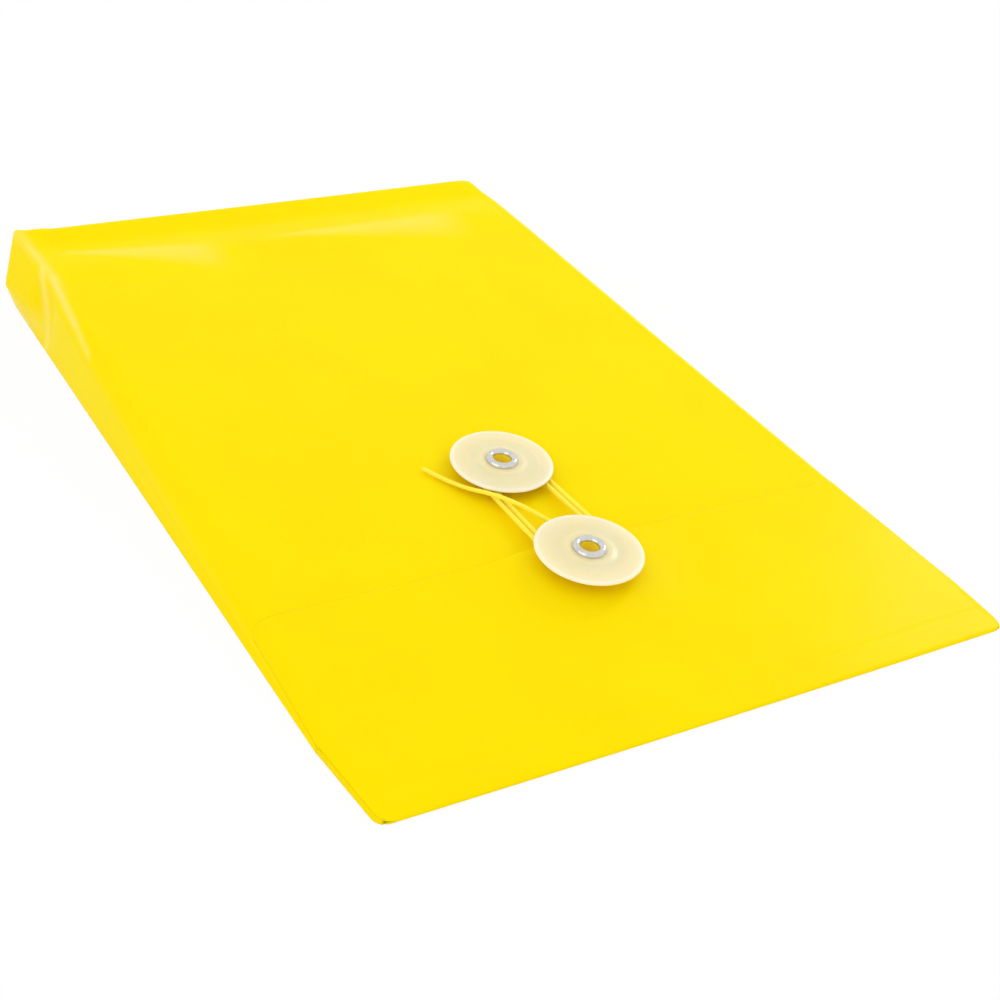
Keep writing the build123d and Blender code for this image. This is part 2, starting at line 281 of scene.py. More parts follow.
def far_rim(section):
    """Rows that round the far end of the skin off, inwards from its last section."""
    into = inward(section)
    rows = []
    for k in range(1, RIM_STEPS + 1):
        turn = math.pi / 2 * k / RIM_STEPS
        row = section.copy()
        row[:, [0, 2]] += into * END_ROLL * (1 - math.cos(turn))
        row[:, 1] = RIM_START + (END_Y - RIM_START) * math.sin(turn)
        row[:, 2] = np.maximum(row[:, 2], SHEET * k / RIM_STEPS)
        rows.append(row)
    return rows


rows_y = np.concatenate([
    np.linspace(MOUTH_Y, FLAP_EDGE_Y - 0.6, 28)[:-1],
    FLAP_EDGE_Y + np.array([-0.6, -0.2, 0.0, 0.03, 0.06, 0.09, 0.3, 0.7]),
    np.linspace(FLAP_EDGE_Y + 1.5, 76.0, 62)[:-1],
    np.linspace(76.0, RIM_START, 32),
])
skin = [pocket_section(y) for y in rows_y]
skin += far_rim(skin[-1])
skin = widen(settle(skin))
skin[..., 2] += FOOT_RISE * np.clip(1 - skin[..., 2] / PLEAT_TOP, 0, 1)
pocket = sheet_piece("pocket_skin", skin, flip=False, smooth_angle=60.0)

# Bottom wall: inside the far rim, with returns along the walls and under the front
RETURN = 6.0
WALL_Y = END_Y - 0.27
WALL_ROUND = 1.3
profile = [(WALL_Y, z) for z in np.linspace(0.3, ROLL_Z - 0.1, 14)]
for k in range(1, 9):
    turn = math.pi / 2 * k / 8
    profile.append((WALL_Y - WALL_ROUND * (1 - math.cos(turn)), ROLL_Z - 0.1 + WALL_ROUND * math.sin(turn)))
profile.append((WALL_Y - RETURN, front_height(WALL_Y - RETURN) - 1.0))
wall_grid = []
for y, z in profile:
    left_edge = -HALF + 1.1 + 1.7 * z / END_HEIGHT
    right_edge = HALF - 1.1 - 5.4 * z / END_HEIGHT
    row = [(left_edge, y - RETURN, z), (left_edge, y - 2.0, z)]
    for k in range(0, 7):
        turn = math.pi / 2 * k / 6
        row.append((left_edge + WALL_ROUND * (1 - math.cos(turn)), y - WALL_ROUND * (1 - math.sin(turn)), z))
    span = (left_edge + 2 * WALL_ROUND, right_edge - 2 * WALL_ROUND)
    row += [(x, y, z) for x in np.linspace(*span, 49)]
    for k in range(6, -1, -1):
        turn = math.pi / 2 * k / 6
        row.append((right_edge - WALL_ROUND * (1 - math.cos(turn)), y - WALL_ROUND * (1 - math.sin(turn)), z))
    row += [(right_edge, y - 2.0, z), (right_edge, y - RETURN, z)]
    wall_grid.append(row)
wall_grid = widen(settle(wall_grid))
bottom = sheet_piece("bottom_skin", wall_grid, flip=False, smooth_angle=60.0)

# Pleats: the spare gusset width folded double on the back, inside


def pleat(name, side):
    """Folded strip along one edge of the back, with a round fold at its inner edge."""
    grid = []
    for y in np.linspace(MOUTH_Y, END_Y - 1.0, 40):
        deep = (GUSSET - (front_height(y) - PLEAT_TOP)) / 2
        outer, inner = HALF - 0.6, HALF - deep
        row = [(side * (outer + (inner - outer) * t), y, PLEAT_TOP + 0.02) for t in np.linspace(0, 1, 8)]
        for k in range(1, 6):
            turn = math.pi * k / 6
            row.append((side * (inner - 0.4 * math.sin(turn)), y, 0.8 + 0.42 * math.cos(turn)))
        row += [(side * (inner + (outer - inner) * t), y, 0.43) for t in np.linspace(0, 1, 8)]
        grid.append(row)
    return sheet_piece(name, widen(grid), flip=side > 0)


left_pleat = pleat("left_pleat_fold", -1)
right_pleat = pleat("right_pleat_fold", 1)

# Flap and its bend in one sheet: half round from the back, then over the front and its shoulders
FOLD_RISE = 0.36
RESTING = 0.15
FLAP_START = 0.7
BEND_STEPS = 13
FOLD_BOW = 0.4
BOW_REACH = 8.0
BOW_HALF = HALF + 3.0
CORNER_V = FLAP_EDGE - 6.0


def corner_half(y, half):
    """Half width at y, rounded off over the corner radius at the flap fold."""
    depth = np.clip(CORNER_RADIUS - (y - FOLD_Y), 0, CORNER_RADIUS)
    return half - CORNER_RADIUS + math.sqrt(CORNER_RADIUS**2 - depth**2)


def flap_section(v, end_share):
    """Section of the flap's outer face at v, drawn back at its free corners by end_share of the cut."""
    y = FOLD_Y + v * math.cos(SLOPE)
    section = full_section(y)
    out = -inward(section)
    raised = RESTING + FOLD_RISE * (1 - smooth(4.0, 32.0, v)) - 0.05 * hill(v, SCORE_REACH, 0.35)
    from_disc = np.hypot(section[:, 0], (v - FLAP_DISC_REACH) * 1.1)
    held = (FLAP_TOP - raised) * (1 - smooth(5.5, 27.0, from_disc))
    moved = section.copy()
    moved[:, [0, 2]] += out * RESTING
    moved[:, 2] += raised - RESTING + held
    moved[:, 0] *= corner_half(y, HALF) / HALF
    moved = along_front(moved, -end_share * corner_cut(section))
    return moved[EDGE_COLUMN:len(moved) - EDGE_COLUMN]


flap_v = np.concatenate([
    np.linspace(FLAP_START, 6.6, 9)[:-1],
    np.linspace(6.6, 8.4, 9)[:-1],
    np.linspace(8.4, CORNER_V, 38)[:-1],
    np.linspace(CORNER_V, FLAP_EDGE, 12),
])
flap_rows = [flap_section(v, float(np.clip((v - CORNER_V) / (FLAP_EDGE - CORNER_V), 0, 1))) for v in flap_v]
bend_top = flap_rows[0][len(flap_rows[0]) // 2]
bend_rows = []
for k in range(BEND_STEPS):
    turn = math.radians(270) - (math.pi - SLOPE) * k / BEND_STEPS
    y = bend_top[1] + (bend_top[1] - FOLD_Y) * math.cos(turn)
    row = flap_rows[0].copy()
    row[:, 0] *= corner_half(y, HALF) / corner_half(bend_top[1], HALF)
    row[:, 1] = y
    row[:, 2] *= (1 + math.sin(turn)) / 2
    bend_rows.append(row)
flap_grid = widen(bend_rows + flap_rows)
bow = FOLD_BOW * (1 - smooth(0.0, BOW_REACH, flap_grid[..., 1] - FOLD_Y))
bow *= 1 - (flap_grid[..., 0] / BOW_HALF) ** 2
flap_grid[..., 1] -= bow
flap = sheet_piece("flap_skin", flap_grid, flip=False, smooth_angle=60.0)

# Back of the envelope, flat on the table, with rounded corners and turned-up sides:
# beside the fold they stand along the flap's left edge and under its right one, then inside the walls
LIP = 0.9
LEFT_LIP_MOVE = (-0.27, 0, 0.06)
RIGHT_LIP_MOVE = (0.05, 0, -0.25)
LEFT_TUCK = 0.2

back_y = np.concatenate([
    np.linspace(FOLD_Y + FLAP_START, FOLD_Y + CORNER_RADIUS, 8),
    np.linspace(FOLD_Y + 4.0, MOUTH_Y - 0.1, 16),
    np.linspace(MOUTH_Y, END_Y - 0.5, 60),
])
back_grid = []
for y in back_y:
    half = corner_half(y, HALF if y < MOUTH_Y else HALF - SHEET - 0.1)
    left_top, right_top = (-half, y, LIP), (half, y, LIP)
    if y < MOUTH_Y:
        beside = flap_section((y - FOLD_Y) / math.cos(SLOPE), 0.0)
        left_top = beside[0] + LEFT_LIP_MOVE
        right_top = beside[-1] + RIGHT_LIP_MOVE
    left_foot = -half + LEFT_TUCK * (y < MOUTH_Y)
    row = [tuple(left_top), ((left_foot + left_top[0]) / 2, y, left_top[2] / 2)]
    row += [(x, y, 0.0) for x in np.linspace(left_foot, half, 41)]
    row += [(half, y, right_top[2] / 2), tuple(right_top)]
    back_grid.append(row)
back_grid = widen(settle(back_grid))
back = sheet_piece("back_sheet", back_grid, flip=True)

# Turned pieces: discs, eyelets and washers
TURN_STEPS = 96


def lathe(name, outline, reach, seat, smooth_angle=32.0):
    """Closed outline of radius and height in millimetres, turned about a disc's axis on the front."""
    origin = on_front(0.0, reach, seat)
    across, away = np.array([1.0, 0.0, 0.0]), ALONG
    points, count = [], len(outline)
    for k in range(TURN_STEPS):
        turn = 2 * math.pi * k / TURN_STEPS
        out = across * math.cos(turn) + away * math.sin(turn)
        points += [origin + out * r + NORMAL * h for r, h in outline]
    faces = []
    for k in range(TURN_STEPS):
        a, b = k * count, ((k + 1) % TURN_STEPS) * count
        for i in range(count):
            j = (i + 1) % count
            faces.append((a + i, b + i, b + j, a + j))
    return add_mesh(name, points, faces, smooth_angle)


def arc(centre, radius, start, end, steps):
    """Points on an arc in an outline, angles in degrees from outward towards up."""
    turns = np.radians(np.linspace(start, end, steps))
    return [(centre[0] + radius * math.cos(t), centre[1] + radius * math.sin(t)) for t in turns]


DISC = 12.6
HUB = 5.2
HUB_HEIGHT = 2.4
DISC_THICK = 0.9
WEB = 0.6
BORE = 2.65
EYE = 2.1


def disc_outline():
    """Moulded disc: hub, fillet, thin web with a beaded rim, a faint step and a boss round the bore."""
    top = HUB_HEIGHT + DISC_THICK
    under = top - WEB
    points = [(BORE, 0.08), (HUB - 0.2, 0.08)] + arc((HUB - 0.2, 0.28), 0.2, -90, 0, 4)
    points += [(HUB, under - 0.4)] + arc((HUB + 0.4, under - 0.4), 0.4, 180, 90, 5)
    points += [(HUB + 2.0, under), (DISC - 1.2, under)]
    points += arc((DISC - WEB / 2, under + WEB / 2), WEB / 2, -90, 60, 8)
    points += arc((DISC - 0.6, top - 0.04), 0.08, 60, 150, 5)
    points += [(DISC - 1.0, top - 0.02), (DISC - 1.3, top - 0.05), (DISC - 3.4, top - 0.06)]
    points += arc((DISC - 3.9, top - 0.06), 0.07, 20, 160, 4)
    points += [(DISC - 4.6, top - 0.06), (BORE + 3.9, top - 0.06), (BORE + 3.6, top)]
    points += arc((BORE + 2.6, top + 0.06), 0.19, 60, 120, 4)
    points += [(BORE + 1.6, top + 0.25), (BORE + 0.1, top + 0.25), (BORE, top + 0.15)]
    return points


def eyelet_outline():
    """Pressed eyelet: rolled head over the disc, open barrel and a curled rim under the washer."""
    seat = HUB_HEIGHT + DISC_THICK + 0.3
    under = -SHEET - 0.35
    points = [(2.6, seat)] + arc((3.04, seat), 0.94, 0, 180, 17)
    points += [(EYE, seat - 0.2), (EYE, 1.0), (EYE, under - 0.1)]
    points += arc((2.84, under - 0.06), 0.7, 190, 350, 11)
    points += [(3.5, under), (2.6, under)]
    return points


def washer_outline():
    """Flat ring under the sheet, with rounded edges."""
    low, high = -SHEET - 0.35, -SHEET - 0.01
    return [(2.7, low), (4.85, low), (5.0, low + 0.1), (5.0, high - 0.1), (4.85, high), (2.7, high)]


turned = {}
for end, reach, seat in (("body", FLAP_DISC_REACH + DISC_SPACING, 0.0), ("flap", FLAP_DISC_REACH, FLAP_TOP)):
    turned[end + "_disc"] = lathe(end + "_tie_disc", disc_outline(), reach, seat)
    turned[end + "_eyelet"] = lathe(end + "_rolled_eyelet", eyelet_outline(), reach, seat, 50.0)
    turned[end + "_washer"] = lathe(end + "_ring_washer", washer_outline(), reach, seat)

# String: wound twice round both hubs in one leaning plane, with a free tail
STRING = 1.1
HUB_TURN = HUB + 0.55 + STRING / 2
TURNS = [HUB_TURN, HUB_TURN + 1.7, HUB_TURN + 3.4]
STRING_LOW = STRING / 2 + 0.6
STRING_HIGH = FLAP_TOP + STRING / 2 + 0.5
STRING_RUN = math.hypot(DISC_SPACING, STRING_HIGH - STRING_LOW)
FLAP_HUB = on_front(0.0, FLAP_DISC_REACH, STRING_HIGH)
BODY_HUB = on_front(0.0, FLAP_DISC_REACH + DISC_SPACING, STRING_LOW)
STRING_ALONG = (BODY_HUB - FLAP_HUB) / np.linalg.norm(BODY_HUB - FLAP_HUB)
STRING_UP = np.cross([1.0, 0.0, 0.0], STRING_ALONG)
TURN_STEP = 30.0
TAIL_ANGLE = 32.0
TAIL = [
    (2.5, 0.0, 0.0),
    (10.0, 0.0, 0.0),
    (19.0, 1.8, 0.1),
    (27.0, 1.8, 0.4),
    (38.0, -0.55, 1.0),
    (47.5, -0.22, 2.2),
]
NEAR_HUB = 6.6


def string_point(right, away, lift=0.0):
    """Point in the string's plane, from the flap disc's hub."""
    return FLAP_HUB + np.array([right, 0.0, 0.0]) + STRING_ALONG * away + STRING_UP * lift


def turn_points(away, radius, start, end):
    """Control points round a hub, from one angle to another, a step apart."""
    count = max(1, round(abs(end - start) / TURN_STEP))
    step = (end - start) / count
    reach = radius / math.cos(math.radians(abs(step) / 2))
    angles = [math.radians(start + step * (k + 0.5)) for k in range(count)]
    return [string_point(reach * math.cos(a), away + reach * math.sin(a)) for a in angles]


def straight(start, end):
    """The two control points that keep the string straight beside the hubs."""
    start, end = np.array(start), np.array(end)
    way = (end - start) / np.linalg.norm(end - start)
    return [start + way * NEAR_HUB, end - way * NEAR_HUB]


def run_between(side, flap_turn, body_turn, to_body):
    """Control points of a straight run between the hubs, on the right (1) or left (-1)."""
    rise = (flap_turn - body_turn) / STRING_RUN
    out = side * math.sqrt(1 - rise**2)
    low = string_point(flap_turn * out, flap_turn * rise)
    high = string_point(body_turn * out, STRING_RUN + body_turn * rise)
    return straight(low, high) if to_body else straight(high, low)


end_angle = math.radians(-30.0)
route = [string_point(TURNS[2] * math.cos(end_angle), TURNS[2] * math.sin(end_angle))]
route += turn_points(0.0, TURNS[2], -30.0, 0.0)
route += run_between(1, TURNS[2], TURNS[1], True)
route += turn_points(STRING_RUN, TURNS[1], 0.0, 180.0)
route += run_between(-1, TURNS[1], TURNS[1], False)
route += turn_points(0.0, TURNS[1], -180.0, 0.0)
route += run_between(1, TURNS[1], TURNS[0], True)
route += turn_points(STRING_RUN, TURNS[0], 0.0, 180.0)
route += run_between(-1, TURNS[0], TURNS[0], False)
route += turn_points(0.0, TURNS[0], -180.0, TAIL_ANGLE)
foot = math.radians(TAIL_ANGLE)
way = foot + math.pi / 2
for run, lift, aside in TAIL:
    route.append(string_point(
        TURNS[0] * math.cos(foot) + run * math.cos(way) + aside * math.sin(way),
        TURNS[0] * math.sin(foot) + run * math.sin(way) - aside * math.cos(way),
        lift,
    ))

line = bpy.data.curves.new("string_line", "CURVE")
line.dimensions = "3D"
spline = line.splines.new("NURBS")
spline.points.add(len(route) - 1)
for point, place in zip(spline.points, route):
    point.co = (*(place * MM), 1.0)
spline.order_u = 3
spline.use_endpoint_u = True
spline.resolution_u = 10
line_holder = bpy.data.objects.new("string_line", line)
bpy.context.scene.collection.objects.link(line_holder)
bpy.context.view_layer.update()
drawn = bpy.data.meshes.new_from_object(line_holder.evaluated_get(bpy.context.evaluated_depsgraph_get()))
path = np.array([v.co for v in drawn.vertices], float)
bpy.data.objects.remove(line_holder)

STRANDS = 3
LAY_LENGTH = 3.2 * MM
STRING_STEP = 0.35 * MM
ROUND_STEPS = 18


def twisted_tube(name, line_points, diameter):
    """Tube round the line with strands twisted along it, closed at both ends."""
    gaps = np.linalg.norm(np.diff(line_points, axis=0), axis=1)
    keep = np.concatenate([[True], gaps > 1e-6])
    line_points = line_points[keep]
    length = np.concatenate([[0.0], np.cumsum(np.linalg.norm(np.diff(line_points, axis=0), axis=1))])
    stops = np.linspace(0, length[-1], int(length[-1] / STRING_STEP))
    centre = np.stack([np.interp(stops, length, line_points[:, k]) for k in range(3)], axis=1)
    tangent = np.gradient(centre, axis=0)
    tangent /= np.linalg.norm(tangent, axis=1)[:, None]
    up = STRING_UP[None, :] - tangent * (tangent @ STRING_UP)[:, None]
    up /= np.linalg.norm(up, axis=1)[:, None]
    side = np.cross(tangent, up)
    around = np.linspace(0, 2 * math.pi, ROUND_STEPS, endpoint=False)
    points = []
    for k, middle in enumerate(centre):
        twist = 2 * math.pi * stops[k] / LAY_LENGTH
        lobes = np.abs(np.cos(STRANDS * (around - twist) / 2)) ** 0.8
        radius = diameter / 2 * (0.8 + 0.2 * lobes)
        ring = np.outer(radius * np.cos(around), up[k]) + np.outer(radius * np.sin(around), side[k])
        points.append(middle + ring)
    points = np.array(points)
    rows = len(points)
    faces = []
    for r in range(rows - 1):
        for c in range(ROUND_STEPS):
            d = (c + 1) % ROUND_STEPS
            a, b = r * ROUND_STEPS, (r + 1) * ROUND_STEPS
            faces.append((a + c, b + c, b + d, a + d))
    faces.append(tuple(range(ROUND_STEPS)))
    faces.append(tuple(reversed(range((rows - 1) * ROUND_STEPS, rows * ROUND_STEPS))))
    return add_mesh(name, points.reshape(-1, 3) / MM, faces, 60.0)


string = twisted_tube("wound_string", path, STRING * MM)

# Materials


class Shader:
    """Node tree of one material, with its principled shader."""

    def __init__(self, name):
        self.material = bpy.data.materials.new(name)
        self.material.use_nodes = True
        self.nodes = self.material.node_tree.nodes
        self.links = self.material.node_tree.links
        self.principled = self.nodes["Principled BSDF"]

    def node(self, kind, **settings):
        made = self.nodes.new(kind)
        for key, value in settings.items():
            setattr(made, key, value)
        return made

    def link(self, source, target):
        self.links.new(source, target)

    def noise(self, scale, detail=3.0, roughness=0.5):
        """Noise in the object's own coordinates."""
        place = self.node("ShaderNodeTexCoord")
        made = self.node("ShaderNodeTexNoise")
        made.inputs["Scale"].default_value = scale
        made.inputs["Detail"].default_value = detail
        made.inputs["Roughness"].default_value = roughness
        self.link(place.outputs["Object"], made.inputs["Vector"])
        return made.outputs["Fac"]

    def ramp(self, fac, stops):
        """Colour ramp of (position, colour) stops."""
        made = self.node("ShaderNodeValToRGB")
        ramp = made.color_ramp
        while len(ramp.elements) < len(stops):
            ramp.elements.new(0.5)
        for element, (position, colour) in zip(ramp.elements, stops):
            element.position = position
            element.color = (*colour, 1.0)
        self.link(fac, made.inputs["Fac"])
        return made.outputs["Color"]

    def mix(self, fac, a, b):
        """Mix of two colours or links by a link."""
        made = self.node("ShaderNodeMix", data_type="RGBA")
        self.link(fac, made.inputs["Factor"])
        for value, socket in ((a, made.inputs["A"]), (b, made.inputs["B"])):
            if isinstance(value, tuple):
                socket.default_value = (*value, 1.0)
            else:
                self.link(value, socket)
        return made.outputs["Result"]

    def bump(self, height, strength, distance):
        made = self.node("ShaderNodeBump")
        made.inputs["Strength"].default_value = strength
        made.inputs["Distance"].default_value = distance
        self.link(height, made.inputs["Height"])
        self.link(made.outputs["Normal"], self.principled.inputs["Normal"])

    def roughness(self, fac, low, high):
        made = self.node("ShaderNodeMapRange")
        made.inputs["To Min"].default_value = low
        made.inputs["To Max"].default_value = high
        self.link(fac, made.inputs["Value"])
        self.link(made.outputs["Result"], self.principled.inputs["Roughness"])

    def set(self, **values):
        for key, value in values.items():
            self.principled.inputs[key.replace("_", " ")].default_value = value


def yellow_sheet(name, deep, light, crease):
    """Translucent satin polypropylene: cloudy colour, fine matt grain, and a pale paint for whitened creases,
    painted highlights and painted reflections.
    """
    s = Shader(name)
    cloud = s.noise(28.0, 2.0)
    colour = s.ramp(cloud, [(0.35, deep), (0.65, light)])
    # Pale paint read from the mesh: whitened creases with painted highlights on them, and painted reflections
    mark = s.node("ShaderNodeAttribute", attribute_name="crease")
    colour = s.mix(mark.outputs["Fac"], colour, crease)
    s.link(colour, s.principled.inputs["Base Color"])
    s.roughness(s.noise(240.0, 2.0), 0.2, 0.28)
    s.bump(s.noise(900.0, 2.0), 0.05, 0.0002)
    s.set(IOR=1.07)
    s.set(Subsurface_Weight=0.5)
    s.set(Subsurface_Radius=(1.0, 1.0, 0.2))
    s.set(Subsurface_Scale=0.0005)
    return s.material


def milky_plastic(name):
    """Milky translucent moulding, whiter towards its rim, with faint flow marks."""
    s = Shader(name)
    body = s.ramp(s.noise(90.0, 2.0), [(0.3, (0.86, 0.73, 0.40)), (0.7, (0.88, 0.76, 0.45))])
    rim = s.node("ShaderNodeAttribute", attribute_name="rim")
    s.link(s.mix(rim.outputs["Fac"], body, (0.92, 0.84, 0.62)), s.principled.inputs["Base Color"])
    s.roughness(s.noise(400.0, 2.0), 0.25, 0.35)
    s.bump(s.noise(500.0, 2.0), 0.05, 0.00003)
    s.set(Specular_IOR_Level=0.3)
    s.set(Subsurface_Weight=0.8)
    s.set(Subsurface_Radius=(1.0, 0.9, 0.6))
    s.set(Subsurface_Scale=0.002)
    return s.material


def nickel_plate(name):
    """Bright nickel plate with fine scuffs."""
    s = Shader(name)
    scuff = s.noise(900.0, 4.0, 0.7)
    tint = s.ramp(scuff, [(0.35, (0.60, 0.59, 0.57)), (0.65, (0.70, 0.69, 0.66))])
    s.link(tint, s.principled.inputs["Base Color"])
    s.roughness(scuff, 0.08, 0.18)
    s.bump(scuff, 0.03, 0.0001)
    s.set(Metallic=1.0)
    return s.material


def painted_bore_glow(name):
    """Yellow paint inside an eyelet's barrel: painted light, the glow of the lit yellow pocket seen down the
    hole.
    """
    s = Shader(name)
    scuff = s.noise(700.0, 3.0)
    tint = s.ramp(scuff, [(0.3, (0.97, 0.76, 0.03)), (0.7, (1.0, 0.84, 0.06))])
    s.link(tint, s.principled.inputs["Base Color"])
    s.roughness(scuff, 0.4, 0.6)
    return s.material


def soft_string(name):
    """Twisted pale yellow string with fine fibres."""
    s = Shader(name)
    fibre = s.noise(2600.0, 4.0, 0.7)
    tint = s.ramp(fibre, [(0.3, (0.99, 0.80, 0.03)), (0.7, (1.0, 0.84, 0.07))])
    s.link(tint, s.principled.inputs["Base Color"])
    s.bump(fibre, 0.3, 0.0002)
    s.set(Roughness=0.75)
    s.set(Specular_IOR_Level=0.2)
    s.set(Sheen_Weight=0.25)
    s.set(Subsurface_Weight=0.6)
    s.set(Subsurface_Radius=(1.0, 0.9, 0.3))
    s.set(Subsurface_Scale=0.0008)
    return s.material


# Pale colour of the whitened creases and of the painted highlights and reflections
CREASE_WHITE_AND_HIGHLIGHT_PAINT = (0.98, 0.80, 0.26)
front_sheet = yellow_sheet("yellow_front", (0.975, 0.70, 0.001), (0.98, 0.72, 0.001), CREASE_WHITE_AND_HIGHLIGHT_PAINT)
flap_sheet = yellow_sheet("yellow_flap", (0.975, 0.70, 0.001), (0.98, 0.72, 0.001), CREASE_WHITE_AND_HIGHLIGHT_PAINT)
# Slightly darker copy for the back and pleats: painted shade of lying under the front, inside the pocket
inner_sheet_painted_shade = yellow_sheet("yellow_inner_painted_shade", (0.97, 0.68, 0.001), (0.975, 0.70, 0.001), CREASE_WHITE_AND_HIGHLIGHT_PAINT)
milky = milky_plastic("milky_disc")
nickel = nickel_plate("nickel")
# Painted glow for the eyelets' bores
bore_glow = painted_bore_glow("painted_bore_glow")
thread = soft_string("string")

# Whitened creases with painted highlights along them, by distance from the folds, and painted reflections


def line_mark(points, start, end, width):
    """1 on a line between two points, falling to 0 at width."""
    p = np.asarray(points, float)
    a, b = np.array(start, float), np.array(end, float)
    along = np.clip(((p - a) @ (b - a)) / ((b - a) @ (b - a)), 0, 1)
    away = np.linalg.norm(p - a - along[..., None] * (b - a), axis=-1)
    return np.clip(1 - away / width, 0, 1) ** 1.5


def painted_reflection_wedge(points, start, end, height):
    """Painted reflection: a pale wedge on the front from a point that widens towards its other end, on the
    near side.
    """
    p = np.asarray(points, float)
    along = (p[..., 0] - start[0]) / (end[0] - start[0])
    crest = start[1] + (end[1] - start[1]) * along
    deep = np.clip(crest - p[..., 1], -50, 50) / (height * np.clip(along, 0.15, 1))
    inside = smooth(-0.2, 0.2, deep) * (1 - smooth(0.4, 1.3, deep))
    level = smooth(0.9, 0.97, p[..., 2] / front_height(p[..., 1]))
    return inside * level * smooth(-0.02, 0.2, along) * (1 - smooth(0.85, 1.1, along))


# Pale creases of the far left corner, stress whitening with painted highlights along them: start, end, width
# and strength
CORNER_WHITENING_AND_HIGHLIGHT = 0.8
CORNER_CREASES = [
    ((-75.1, 116.5, 23.2), (-74.0, 106.4, 21.9), 2.2, 0.5),
    ((-74.0, 106.4, 21.9), (-72.8, 100.1, 20.6), 2.6, 0.6),
    ((-72.8, 100.1, 20.6), (-72.6, 91.2, 19.6), 2.4, 0.5),
    ((-72.6, 91.2, 19.6), (-73.2, 81.1, 18.2), 1.9, 0.8),
    ((-73.2, 81.1, 18.2), (-74.1, 67.3, 16.2), 1.8, 0.7),
    ((-74.1, 67.3, 16.2), (-74.9, 54.4, 13.7), 1.5, 0.5),
    ((-73.2, 97.5, 20.2), (-74.3, 93.7, 19.1), 2.0, 0.8),
    ((-74.3, 93.7, 19.1), (-75.1, 91.2, 11.7), 2.6, 0.7),
    ((-75.1, 91.2, 11.7), (-76.2, 87.4, 1.2), 3.4, 0.65),
    ((-76.0, 90.0, 5.0), (-76.9, 97.0, 4.0), 6.0, 0.35),
]
# Pale paint on the pocket's skin: whitened creases with painted highlights, and painted reflections
skin_whitening_and_painted_highlights = np.zeros(skin.shape[:2])
for start, end, width, strength in CORNER_CREASES:
    skin_whitening_and_painted_highlights = np.maximum(skin_whitening_and_painted_highlights, CORNER_WHITENING_AND_HIGHLIGHT * strength * line_mark(skin, start, end, width))
# Painted reflections: two pale wedges across the front near the far end
skin_whitening_and_painted_highlights = np.maximum(skin_whitening_and_painted_highlights, 0.24 * painted_reflection_wedge(skin, (-68.0, 105.0), (-24.0, 98.0), 14.0))
skin_whitening_and_painted_highlights = np.maximum(skin_whitening_and_painted_highlights, 0.24 * painted_reflection_wedge(skin, (-8.0, 98.5), (54.0, 98.5), 14.0))
add_shade(pocket, "crease", skin_whitening_and_painted_highlights)
# Painted highlight along the top of the far end's roll
add_shade(bottom, "crease", 0.35 * line_mark(wall_grid, (-77.6, 117, 23), (77.6, 117, 21.5), 1.6))
add_shade(back, "crease", np.zeros(back_grid.shape[:2]))
add_shade(flap, "crease", np.zeros(flap_grid.shape[:2]))
for strip in (left_pleat, right_pleat):
    add_shade(strip, "crease", np.zeros(len(strip.data.vertices)))

for end in ("body", "flap"):
    radius = np.tile([r for r, h in disc_outline()], TURN_STEPS)
    add_shade(turned[end + "_disc"], "rim", smooth(DISC - 1.6, DISC - 0.6, radius))

for piece, material, slot in (
    (pocket, front_sheet, "yellow_sheet"),
    (back, inner_sheet_painted_shade, "yellow_sheet"),
    (bottom, front_sheet, "yellow_sheet"),
    (left_pleat, inner_sheet_painted_shade, "yellow_sheet"),
    (right_pleat, inner_sheet_painted_shade, "yellow_sheet"),
    (flap, flap_sheet, "yellow_sheet"),
    (turned["body_disc"], milky, "milky_disc"),
    (turned["flap_disc"], milky, "milky_disc"),
    (turned["body_eyelet"], nickel, "nickel"),
    (turned["flap_eyelet"], nickel, "nickel"),
    (turned["body_washer"], nickel, "nickel"),
    (turned["flap_washer"], nickel, "nickel"),
    (string, thread, "string"),
):
    piece.data.materials.append(material)

# The eyelets' bores take a painted glow: the yellow of the lit pocket seen down the hole
in_bore = [r <= EYE + 0.01 for r, h in eyelet_outline()]
bore_faces = [int(a and b) for a, b in zip(in_bore, in_bore[1:] + in_bore[:1])]
for end in ("body", "flap"):
    mesh = turned[end + "_eyelet"].data
    mesh.materials.append(bore_glow)
    mesh.polygons.foreach_set("material_index", bore_faces * TURN_STEPS)

# Each piece stands for its solid and moves with the same body
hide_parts("front_panel", "left_gusset", "right_gusset")
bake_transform(pocket)
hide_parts("back_panel")
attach(back, "back")
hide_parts("bottom_wall")
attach(bottom, "back")
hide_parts("left_pleat")
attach(left_pleat, "back")
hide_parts("right_pleat")
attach(right_pleat, "back")
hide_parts("flap_panel", "flap_bend")
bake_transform(flap)
for node, body in (
    ("body_disc", "body_button"),
    ("flap_disc", "flap_button"),
    ("body_eyelet", "front"),
    ("flap_eyelet", "flap"),
    ("body_washer", "front"),
    ("flap_washer", "flap"),
):
    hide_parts(node)
    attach(turned[node], body)
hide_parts("tie_string")
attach(string, "front")

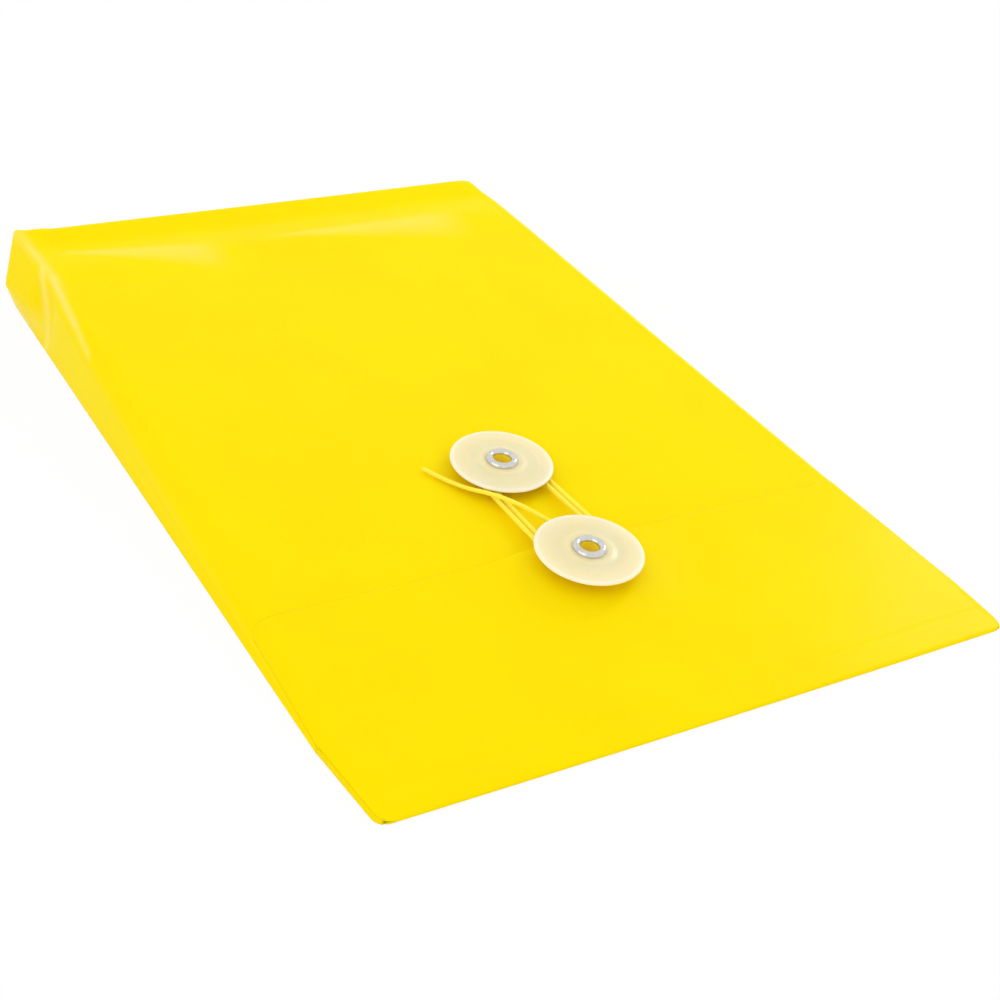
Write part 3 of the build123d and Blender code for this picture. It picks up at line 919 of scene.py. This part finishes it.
# Floor, light and camera
FLOOR_HALF = 3.0
floor = add_mesh("floor", [
    (-FLOOR_HALF / MM, -FLOOR_HALF / MM, -0.05),
    (FLOOR_HALF / MM, -FLOOR_HALF / MM, -0.05),
    (FLOOR_HALF / MM, FLOOR_HALF / MM, -0.05),
    (-FLOOR_HALF / MM, FLOOR_HALF / MM, -0.05),
], [(0, 1, 2, 3)])
FLOOR_WHITENESS = 0.94
paper = bpy.data.materials.new("pale_floor")
paper.use_nodes = True
tree = paper.node_tree
tree.nodes["Principled BSDF"].inputs["Base Color"].default_value = (0.86, 0.86, 0.86, 1.0)
tree.nodes["Principled BSDF"].inputs["Roughness"].default_value = 0.9
tree.nodes["Principled BSDF"].inputs["Specular IOR Level"].default_value = 0.0
glow = tree.nodes.new("ShaderNodeEmission")
glow.inputs["Color"].default_value = (1, 1, 1, 1)
seen = tree.nodes.new("ShaderNodeLightPath")
share = tree.nodes.new("ShaderNodeMath")
share.operation = "MULTIPLY"
share.inputs[1].default_value = FLOOR_WHITENESS
either = tree.nodes.new("ShaderNodeMath")
either.operation = "MAXIMUM"
tree.links.new(seen.outputs["Is Camera Ray"], either.inputs[0])
tree.links.new(seen.outputs["Is Glossy Ray"], either.inputs[1])
direct = tree.nodes.new("ShaderNodeMath")
direct.operation = "MAXIMUM"
tree.links.new(either.outputs[0], direct.inputs[0])
tree.links.new(seen.outputs["Is Transmission Ray"], direct.inputs[1])
tree.links.new(direct.outputs[0], share.inputs[0])
blend_floor = tree.nodes.new("ShaderNodeMixShader")
tree.links.new(share.outputs[0], blend_floor.inputs[0])
tree.links.new(tree.nodes["Principled BSDF"].outputs[0], blend_floor.inputs[1])
tree.links.new(glow.outputs[0], blend_floor.inputs[2])
tree.links.new(blend_floor.outputs[0], tree.nodes["Material Output"].inputs["Surface"])
floor.data.materials.append(paper)

# White studio all round, as light and as background
world = bpy.data.worlds.new("studio")
bpy.context.scene.world = world
world.use_nodes = True
sky = world.node_tree.nodes["Background"]
sky.inputs["Color"].default_value = (1, 1, 1, 1)
sky.inputs["Strength"].default_value = 1.0


def softbox(name, place, target, size, power):
    """Square area light that faces a point."""
    lamp = bpy.data.lights.new(name, "AREA")
    lamp.shape = "SQUARE"
    lamp.size = size
    lamp.energy = power
    holder = bpy.data.objects.new(name, lamp)
    holder.location = place
    holder.rotation_mode = "QUATERNION"
    holder.rotation_quaternion = (Vector(target) - Vector(place)).to_track_quat("-Z", "Y")
    bpy.context.scene.collection.objects.link(holder)


softbox("key", (0.607, 0.205, 0.435), (0.05, -0.08, 0), 0.14, 0.8)
softbox("fill", (-0.7, -0.2, 0.4), (0, 0, 0), 0.7, 0.8)

CAMERA_AZIMUTH = -31.7097
CAMERA_ELEVATION = 31.124
CAMERA_DISTANCE = 0.3954212
CAMERA_TARGET = Vector((-0.0116467, -0.0180386, 0.0))
CAMERA_ROLL = 0.0952
FOCAL_PIXELS = 1612.298
CENTRE_PIXEL = (435.976, 492.406)
FRAME_PIXELS = 1000
azimuth, elevation = math.radians(CAMERA_AZIMUTH), math.radians(CAMERA_ELEVATION)
backward = Vector((
    math.sin(azimuth) * math.cos(elevation),
    -math.cos(azimuth) * math.cos(elevation),
    math.sin(elevation),
))
level = Vector((math.cos(azimuth), math.sin(azimuth), 0))
upright = backward.cross(level)
right = level * math.cos(CAMERA_ROLL) + upright * math.sin(CAMERA_ROLL)
above = upright * math.cos(CAMERA_ROLL) - level * math.sin(CAMERA_ROLL)
camera_data = bpy.data.cameras.new("camera")
camera_data.sensor_width = 36.0
camera_data.lens = FOCAL_PIXELS / FRAME_PIXELS * camera_data.sensor_width
camera_data.shift_x = (FRAME_PIXELS / 2 - CENTRE_PIXEL[0]) / FRAME_PIXELS
camera_data.shift_y = (CENTRE_PIXEL[1] - FRAME_PIXELS / 2) / FRAME_PIXELS
camera_data.clip_start = 0.01
camera_data.clip_end = 50.0
camera = bpy.data.objects.new("camera", camera_data)
camera.matrix_world = Matrix((
    (right.x, above.x, backward.x, 0),
    (right.y, above.y, backward.y, 0),
    (right.z, above.z, backward.z, 0),
    (0, 0, 0, 1),
))
camera.location = CAMERA_TARGET + backward * CAMERA_DISTANCE
bpy.context.scene.collection.objects.link(camera)
bpy.context.scene.camera = camera
bpy.context.scene.view_settings.view_transform = "Standard"

bpy.context.view_layer.update()
